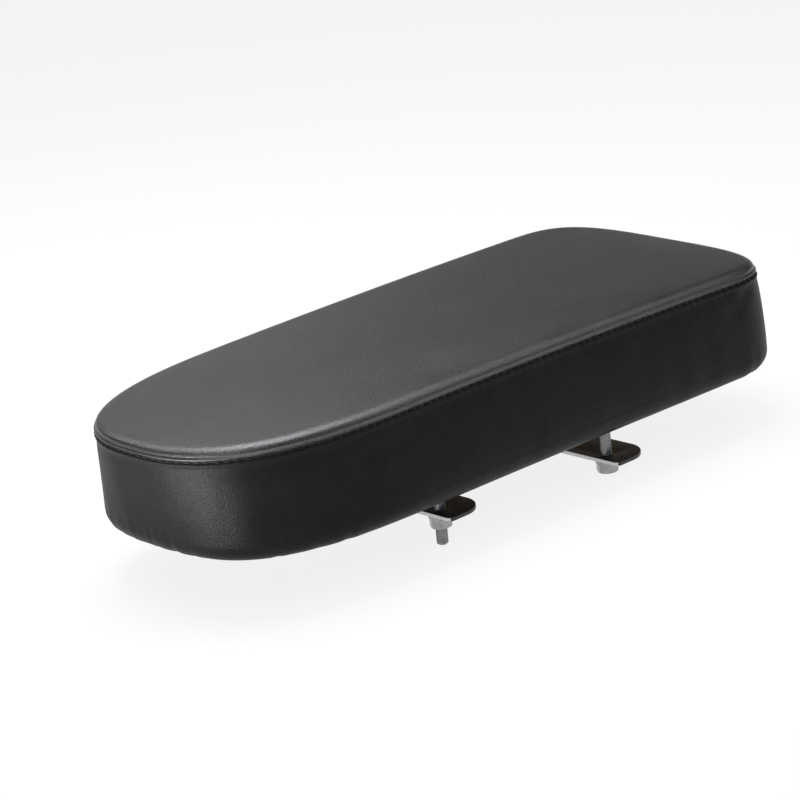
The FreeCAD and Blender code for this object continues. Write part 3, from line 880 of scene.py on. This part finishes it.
def makeStitches(row, rowNormal):
    verts, faces = [], []
    sides, rings = thread["sides"], thread["rings"]
    turn = np.linspace(0, 2 * math.pi, sides, endpoint=False)
    up = np.array((0, 0, 1.0))
    for stitch in range(stitchCount):
        a = stitch * columnsPerStitch
        b = (a + columnsPerStitch) % columns
        middle = a + columnsPerStitch // 2
        out = rowNormal[middle]
        along = (row[b] - row[a]) / np.linalg.norm(row[b] - row[a])
        side = np.cross(along, out)
        surface = (row[middle] - (row[a] + row[b]) / 2) @ out
        rise = max(surface, 0) + thread["lift"]
        start = len(verts)
        for k, share in enumerate(np.linspace(*thread["ends"], rings)):
            arch = math.sin(share * math.pi)
            centre = row[a] * (1 - share) + row[b] * share
            centre = centre + out * (arch * rise) + up * thread["slant"] * (0.5 - share)
            fat = thread["radius"] * (thread["endShare"] + (1 - thread["endShare"]) * math.sqrt(arch))
            for angle in turn:
                verts.append(centre + (out * math.cos(angle) + side * math.sin(angle)) * fat)
            if k:
                p, q = start + (k - 1) * sides, start + k * sides
                for j in range(sides):
                    n = (j + 1) % sides
                    faces.append((p + j, p + n, q + n, q + j))
        faces.append(tuple(range(start, start + sides))[::-1])
        faces.append(tuple(range(start + (rings - 1) * sides, start + rings * sides)))
    piece = pieceFromPoints("topStitches", verts, faces, [blackThread])
    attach(piece, "root")
    print("stitches:", stitchCount)


# foam core

foam = {
    "room": 0.6 * mm,           # between the cover's lining and the foam
    "boardRoom": 0.1 * mm,
    "levels": (-1, -0.5, -0.2, 0.02, 0.2, 0.4, 0.6, 0.8),
}


def makeFoamCore():
    levels = np.array(foam["levels"])
    base = section(levels, coarseRing, coarseOutward)
    move = curveThrough(stuffing["levels"], swell, levels) - (cushion["thickness"] + foam["room"])
    grid = base + gridNormals(base) * move[:, :, None]
    foot = grid[-1].copy()
    foot[:, 2] = foamLow.z + foam["boardRoom"]
    grid = np.vstack([grid, foot[None]])
    verts = list(grid.reshape(-1, 3))
    faces = []
    for level in range(len(grid) - 1):
        joinRings(faces, level * coarseColumns, coarseColumns, (level + 1) * coarseColumns, coarseColumns)
    for level, up in ((0, True), (len(grid) - 1, False)):
        fillFaces(faces, level * coarseColumns, len(verts), up)
        verts += list(fillPoints(grid[level], bowed=up))
    piece = pieceFromPoints("foamCore", verts, faces, [paleFoam])
    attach(piece, "root")
    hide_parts("foam_core")
    print("foam core:", len(faces), "faces")


stitchRow, stitchNormal = makeSideBand()
makeTopPanel()
makeStitches(stitchRow, stitchNormal)
makeFoamCore()


# clamps

clamp = {
    "stripEdge": 0.3 * mm,      # broken edges
    "washerEdge": 0.21 * mm,
    "nutEdge": 0.15 * mm,
    "edgeSegments": 3,
    "edgeProfile": 0.6,
    "sharp": 25,                # degrees, edges over this are broken
    "smooth": 30,               # and shading is smooth up to this
    "flat": 0.5,                # faces within this are joined first
    "bareLitFacing": 0.7,          # faces turned this far to the nose, toward the light, are bare steel: a real cut edge used as a painted highlight
    "weld": 0.002 * mm,
}


def bevelledCopy(node, name, mats, edge, bareLitEdges=False):
    bm = bmesh.new()
    bm.from_mesh(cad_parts[node].data)
    bmesh.ops.remove_doubles(bm, verts=bm.verts, dist=clamp["weld"])
    bmesh.ops.dissolve_limit(bm, angle_limit=math.radians(clamp["flat"]), verts=bm.verts, edges=bm.edges)
    sharp = [e for e in bm.edges if len(e.link_faces) == 2
             and e.calc_face_angle() > math.radians(clamp["sharp"])]
    bmesh.ops.bevel(bm, geom=sharp, offset=edge, segments=clamp["edgeSegments"],
                    profile=clamp["edgeProfile"], affect="EDGES", clamp_overlap=True)
    bm.normal_update()
    if bareLitEdges:
        # only faces toward the nose and the light are bare steel, a painted highlight on a real cut edge
        for face in bm.faces:
            face.material_index = 1 if face.normal.x > clamp["bareLitFacing"] else 0
    piece = pieceFromBmesh(name, bm, mats, clamp["smooth"])
    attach(piece, "root")
    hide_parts(node)


# carriage bolts: domed head, square neck, threaded shank

bolt = {
    "headHeight": 3.3 * mm,
    "headEdge": 1.1 * mm,       # straight part under the dome
    "headRim": 0.2 * mm,
    "headSides": 40,
    "domeRings": 8,
    "domeStart": 0.05,          # share of the dome that is flat at the crown
    "neckLength": 3.4 * mm,
    "shankRadius": 3 * mm,
    "pitch": 1 * mm,
    "threadDepth": 0.4 * mm,
    "threadSides": 32,
    "tipChamfer": 0.7 * mm,
    "smooth": 35,               # degrees
    "weld": 0.01 * mm,
}


def lathe(bm, profile, sides, x, y):
    rings = []
    for radius, z in profile:
        rings.append([bm.verts.new((x + radius * math.cos(a), y + radius * math.sin(a), z))
                      for a in np.linspace(0, 2 * math.pi, sides, endpoint=False)])
    for upper, lower in zip(rings, rings[1:]):
        for j in range(sides):
            n = (j + 1) % sides
            bm.faces.new((upper[j], lower[j], lower[n], upper[n]))
    bm.faces.new(rings[0])
    bm.faces.new(rings[-1][::-1])


def threadedShank(bm, top, tip, x, y):
    # four points to a pitch, two on the crest and two at the root; the helix joins up one pitch lower
    sides, pitch, radius = bolt["threadSides"], bolt["pitch"], bolt["shankRadius"]
    root = radius - bolt["threadDepth"]
    profile = (radius, radius, root, root)
    points = len(profile)
    sparePitches = 3                # they lie flat at the shank's ends
    rows = int((top - tip) / pitch + sparePitches) * points
    tipRadius = radius - bolt["tipChamfer"]
    verts = []
    for k in range(rows):
        for j in range(sides):
            z = top + pitch - pitch * (k / points + j / sides)
            z = min(top, max(tip, z))
            r = min(profile[k % points], tipRadius + (z - tip))
            if z in (top, tip):
                r = tipRadius
            angle = 2 * math.pi * j / sides
            verts.append(bm.verts.new((x + r * math.cos(angle), y + r * math.sin(angle), z)))
    for k in range(rows - 1):
        for j in range(sides):
            n = (j + 1) % sides
            last = k if n else k + points
            if last + 1 < rows:
                bm.faces.new((verts[k * sides + j], verts[(k + 1) * sides + j],
                              verts[(last + 1) * sides + n], verts[last * sides + n]))


def makeBolts(node, name):
    low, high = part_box(node)
    head = (high.x - low.x) / 2
    x = (low.x + high.x) / 2
    under = high.z - bolt["headHeight"]
    rise = bolt["headHeight"] - bolt["headEdge"]
    domeRadius = (head**2 + rise**2) / (2 * rise)
    swing = math.asin(head / domeRadius)
    dome = [(domeRadius * math.sin(a), high.z - domeRadius + domeRadius * math.cos(a))
            for a in np.linspace(bolt["domeStart"], 1, bolt["domeRings"]) * swing]
    rim = bolt["headRim"]
    profile = dome + [(head, under + rim), (head - rim, under)]
    neck, across = bolt["neckLength"], 2 * bolt["shankRadius"]
    bm = bmesh.new()
    for y in (low.y + head, high.y - head):
        lathe(bm, profile, bolt["headSides"], x, y)
        neckPlace = Matrix.Translation((x, y, under - neck / 2))
        bmesh.ops.create_cube(bm, size=1, matrix=neckPlace @ Matrix.Diagonal((across, across, neck, 1)))
        threadedShank(bm, under - neck, low.z, x, y)
    bmesh.ops.remove_doubles(bm, verts=bm.verts, dist=bolt["weld"])
    bmesh.ops.holes_fill(bm, edges=bm.edges, sides=0)
    bmesh.ops.recalc_face_normals(bm, faces=bm.faces)
    piece = pieceFromBmesh(name, bm, [brightZinc], bolt["smooth"])
    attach(piece, "root")
    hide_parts(node)


for end in ("front", "rear"):
    bevelledCopy(f"{end}_clamp_strip", f"{end}ClampStrip", [blackCoat, bareSteelHighlight],
                 clamp["stripEdge"], bareLitEdges=True)
    bevelledCopy(f"{end}_clamp_washers", f"{end}ClampWashers", [brightZinc],
                 clamp["washerEdge"])
    bevelledCopy(f"{end}_clamp_nuts", f"{end}ClampNuts", [brightZinc], clamp["nutEdge"])
    makeBolts(f"{end}_clamp_bolts", f"{end}ClampBolts")
    print(end, "clamp made")


# base board and staples keep their own meshes

for node, mat in (("base_board", plywood), ("hem_staples", brightZinc)):
    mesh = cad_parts[node].data
    mesh.materials.clear()
    mesh.materials.append(mat)
print("base board and staples finished")


# camera

shot = {
    "azimuth": 47.45,       # degrees from +X towards +Y
    "elevation": 18.0,
    "roll": -5.64,
    "distance": 1.7669,
    "middle": (0, 0, 35 * mm),
    "slide": (-12.43 * mm, -12.53 * mm),    # picture centre, right and up from the middle
    "lens": 156.0,
    "sensor": 36,
}


def makeCamera():
    azimuth, elevation, roll = (math.radians(shot[key]) for key in ("azimuth", "elevation", "roll"))
    back = Vector((math.cos(azimuth) * math.cos(elevation), math.sin(azimuth) * math.cos(elevation),
                   math.sin(elevation)))
    right = Vector((-math.sin(azimuth), math.cos(azimuth), 0))
    up = back.cross(right)
    right, up = right * math.cos(roll) + up * math.sin(roll), up * math.cos(roll) - right * math.sin(roll)
    place = Vector(shot["middle"]) + back * shot["distance"]
    aim = Vector(shot["middle"]) + right * shot["slide"][0] + up * shot["slide"][1]
    back = (place - aim).normalized()
    right = up.cross(back).normalized()
    up = back.cross(right)
    data = bpy.data.cameras.new("camera")
    data.lens = shot["lens"]
    data.sensor_width = shot["sensor"]
    camera = bpy.data.objects.new("camera", data)
    bpy.context.scene.collection.objects.link(camera)
    camera.matrix_world = Matrix.Translation(place) @ Matrix((right, up, back)).transposed().to_4x4()
    bpy.context.scene.camera = camera


# studio: pale floor, a surround that is white at the horizon and dims overhead, soft lamps

studio = {
    "floor": 0.8,
    "floorSize": 8.0,
    "floorGlow": 0.85,          # share of plain white on the floor, seen or mirrored
    "surround": 0.28,           # light that the surround gives
    "ceiling": 0.05,            # and how bright it is overhead, seen or mirrored
    "dimming": (3, 9),          # degrees above the horizon
    "lampColour": (0.96, 0.97, 1.0),
    "lamps": {
        "overhead": {"place": (-0.02, -0.14, 0.75), "aim": (0.03, -0.09, 0.03),
                     "size": (0.50, 0.70), "watts": 7.4},
        "nose": {"place": (0.20, -0.67, 0.75), "aim": (0.15, 0, 0.03),
                 "size": (0.40, 0.40), "watts": 2.4},
        "side": {"place": (-0.52, 0.12, 0.75), "aim": (0, 0.05, 0.03),
                 "size": (0.40, 0.40), "watts": 0.9},
        "wash": {"place": (-0.30, -0.65, 0.32), "aim": (0.1, 0, 0.06),
                 "size": (0.40, 0.40), "watts": 0.15},
        "card": {"place": (0.40, 0.04, -0.02), "aim": (0.40, 0.04, 1),
                 "size": (0.26, 0.22), "watts": 3.3},
        "front": {"place": (0.46, 0.30, 0.50), "aim": (0.12, 0.02, 0.05),
                  "size": (0.45, 0.40), "watts": 1.4},
        "rear": {"place": (-0.40, 0.46, 0.46), "aim": (0.02, 0.06, 0.05),
                 "size": (0.45, 0.40), "watts": 0.9},
    },
}


def seenRays(tree):
    # rays of the camera, and of anything that mirrors or lets through
    rays = addNode(tree, "ShaderNodeLightPath").outputs
    mirrored = {0: rays["Is Glossy Ray"], 1: rays["Is Transmission Ray"]}
    either = addNode(tree, "ShaderNodeMath", mirrored, operation="MAXIMUM").outputs[0]
    seen = {0: either, 1: rays["Is Camera Ray"]}
    return addNode(tree, "ShaderNodeMath", seen, operation="MAXIMUM").outputs[0]


def mixed(tree, share, first, second):
    return addNode(tree, "ShaderNodeMixShader", {0: share, 1: first.outputs[0], 2: second.outputs[0]})


def floorMaterial():
    mat = bpy.data.materials.new("pale_floor")
    mat.use_nodes = True
    tree = mat.node_tree
    tree.nodes.clear()
    matte = addNode(tree, "ShaderNodeBsdfDiffuse", {"Color": (*[studio["floor"]] * 3, 1)})
    plain = addNode(tree, "ShaderNodeEmission", {"Strength": 1.0})
    inputs = {0: seenRays(tree), 1: studio["floorGlow"]}
    share = addNode(tree, "ShaderNodeMath", inputs, operation="MULTIPLY").outputs[0]
    full = mixed(tree, share, matte, plain)
    addNode(tree, "ShaderNodeOutputMaterial", {"Surface": full.outputs[0]})
    return mat


def makeFloor():
    reach = studio["floorSize"] / 2
    signs = ((-1, -1), (1, -1), (1, 1), (-1, 1))
    corners = [(x * reach, y * reach, floorZ) for x, y in signs]
    floor = pieceFromPoints("floor", corners, [(0, 1, 2, 3)], [floorMaterial()])


def makeSurround():
    world = bpy.data.worlds.new("surround")
    bpy.context.scene.world = world
    world.use_nodes = True
    tree = world.node_tree
    tree.nodes.clear()
    direction = addNode(tree, "ShaderNodeTexCoord").outputs["Generated"]
    height = addNode(tree, "ShaderNodeSeparateXYZ", {0: direction}).outputs["Z"]
    start, end = (math.sin(math.radians(angle)) for angle in studio["dimming"])
    inputs = {"Value": height, "From Min": start, "From Max": end, "To Min": 1, "To Max": studio["ceiling"]}
    fading = addNode(tree, "ShaderNodeMapRange", inputs, interpolation_type="SMOOTHSTEP").outputs["Result"]
    light = addNode(tree, "ShaderNodeBackground", {"Color": (1, 1, 1, 1), "Strength": studio["surround"]})
    seen = addNode(tree, "ShaderNodeBackground", {"Color": (1, 1, 1, 1), "Strength": fading})
    full = mixed(tree, seenRays(tree), light, seen)
    addNode(tree, "ShaderNodeOutputWorld", {"Surface": full.outputs[0]})


def makeLamps():
    for name, lamp in studio["lamps"].items():
        data = bpy.data.lights.new(name, "AREA")
        data.shape = "ELLIPSE"
        data.color = studio["lampColour"]
        data.size, data.size_y = lamp["size"]
        data.energy = lamp["watts"]
        light = bpy.data.objects.new(name, data)
        light.location = lamp["place"]
        light.rotation_euler = (Vector(lamp["aim"]) - light.location).to_track_quat("-Z", "Y").to_euler()
        light.visible_camera = False
        bpy.context.scene.collection.objects.link(light)


makeCamera()
makeFloor()
makeSurround()
makeLamps()
bpy.context.scene.view_settings.view_transform = "Standard"
print("camera and studio set")
